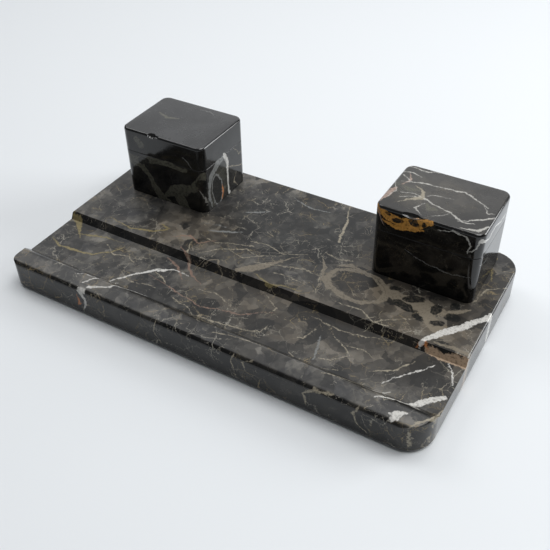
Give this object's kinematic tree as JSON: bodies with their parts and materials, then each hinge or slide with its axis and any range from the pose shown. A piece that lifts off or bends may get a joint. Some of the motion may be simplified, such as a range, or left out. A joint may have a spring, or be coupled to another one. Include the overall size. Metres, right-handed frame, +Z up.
{
  "type": "double inkwell desk stand",
  "caption": "Polished marble desk stand with a full-width pen tray in its slab and two square inkwells with hinged lids.",
  "frame": {"origin": "on the surface that the stand rests on, under the middle of the slab", "axes": "+X along the slab to the right as seen from the pen tray, +Y from the tray to the wells at the back, +Z up"},
  "size_m": [0.35, 0.196, 0.0895],
  "materials": {
    "slab_marble": "mirror polished black marble with white, gold and brown veins",
    "left_well_marble": "mirror polished black marble with grey and white veins",
    "right_well_marble": "mirror polished black marble with cream and gold veins",
    "ink_glass": "clear pressed glass",
    "hinge_brass": "aged polished brass",
    "bolt_steel": "plain turned steel",
    "plug_wood": "raw hardwood",
    "pad_felt": "dark green pressed felt"
  },
  "bodies": {
    "stand": {"base_slab": "slab_marble", "front_left_pad": "pad_felt", "front_right_pad": "pad_felt", "rear_left_pad": "pad_felt", "rear_right_pad": "pad_felt", "left_well_block": "left_well_marble", "right_well_block": "right_well_marble", "left_ink_liner": "ink_glass", "right_ink_liner": "ink_glass", "left_well_bolt": "bolt_steel", "right_well_bolt": "bolt_steel", "left_bolt_washers": "bolt_steel", "right_bolt_washers": "bolt_steel", "left_bolt_nut": "bolt_steel", "right_bolt_nut": "bolt_steel", "left_hinge_block_leaf": "hinge_brass", "right_hinge_block_leaf": "hinge_brass", "left_hinge_pin": "hinge_brass", "right_hinge_pin": "hinge_brass", "left_block_screws": "hinge_brass", "right_block_screws": "hinge_brass", "left_block_plugs": "plug_wood", "right_block_plugs": "plug_wood"},
    "left_lid": {"left_lid": "left_well_marble", "left_hinge_lid_leaf": "hinge_brass", "left_lid_screws": "hinge_brass", "left_lid_plugs": "plug_wood"},
    "right_lid": {"right_lid": "right_well_marble", "right_hinge_lid_leaf": "hinge_brass", "right_lid_screws": "hinge_brass", "right_lid_plugs": "plug_wood"}
  },
  "joints": [
    {"name": "left_lid_hinge", "type": "hinge", "parent": "stand", "child": "left_lid", "pos_m": [-0.113, 0.0905, 0.069], "axis": [-1, 0, 0], "range_deg": [0, 105]},
    {"name": "right_lid_hinge", "type": "hinge", "parent": "stand", "child": "right_lid", "pos_m": [0.118, 0.0905, 0.069], "axis": [-1, 0, 0], "range_deg": [0, 105]}
  ]
}
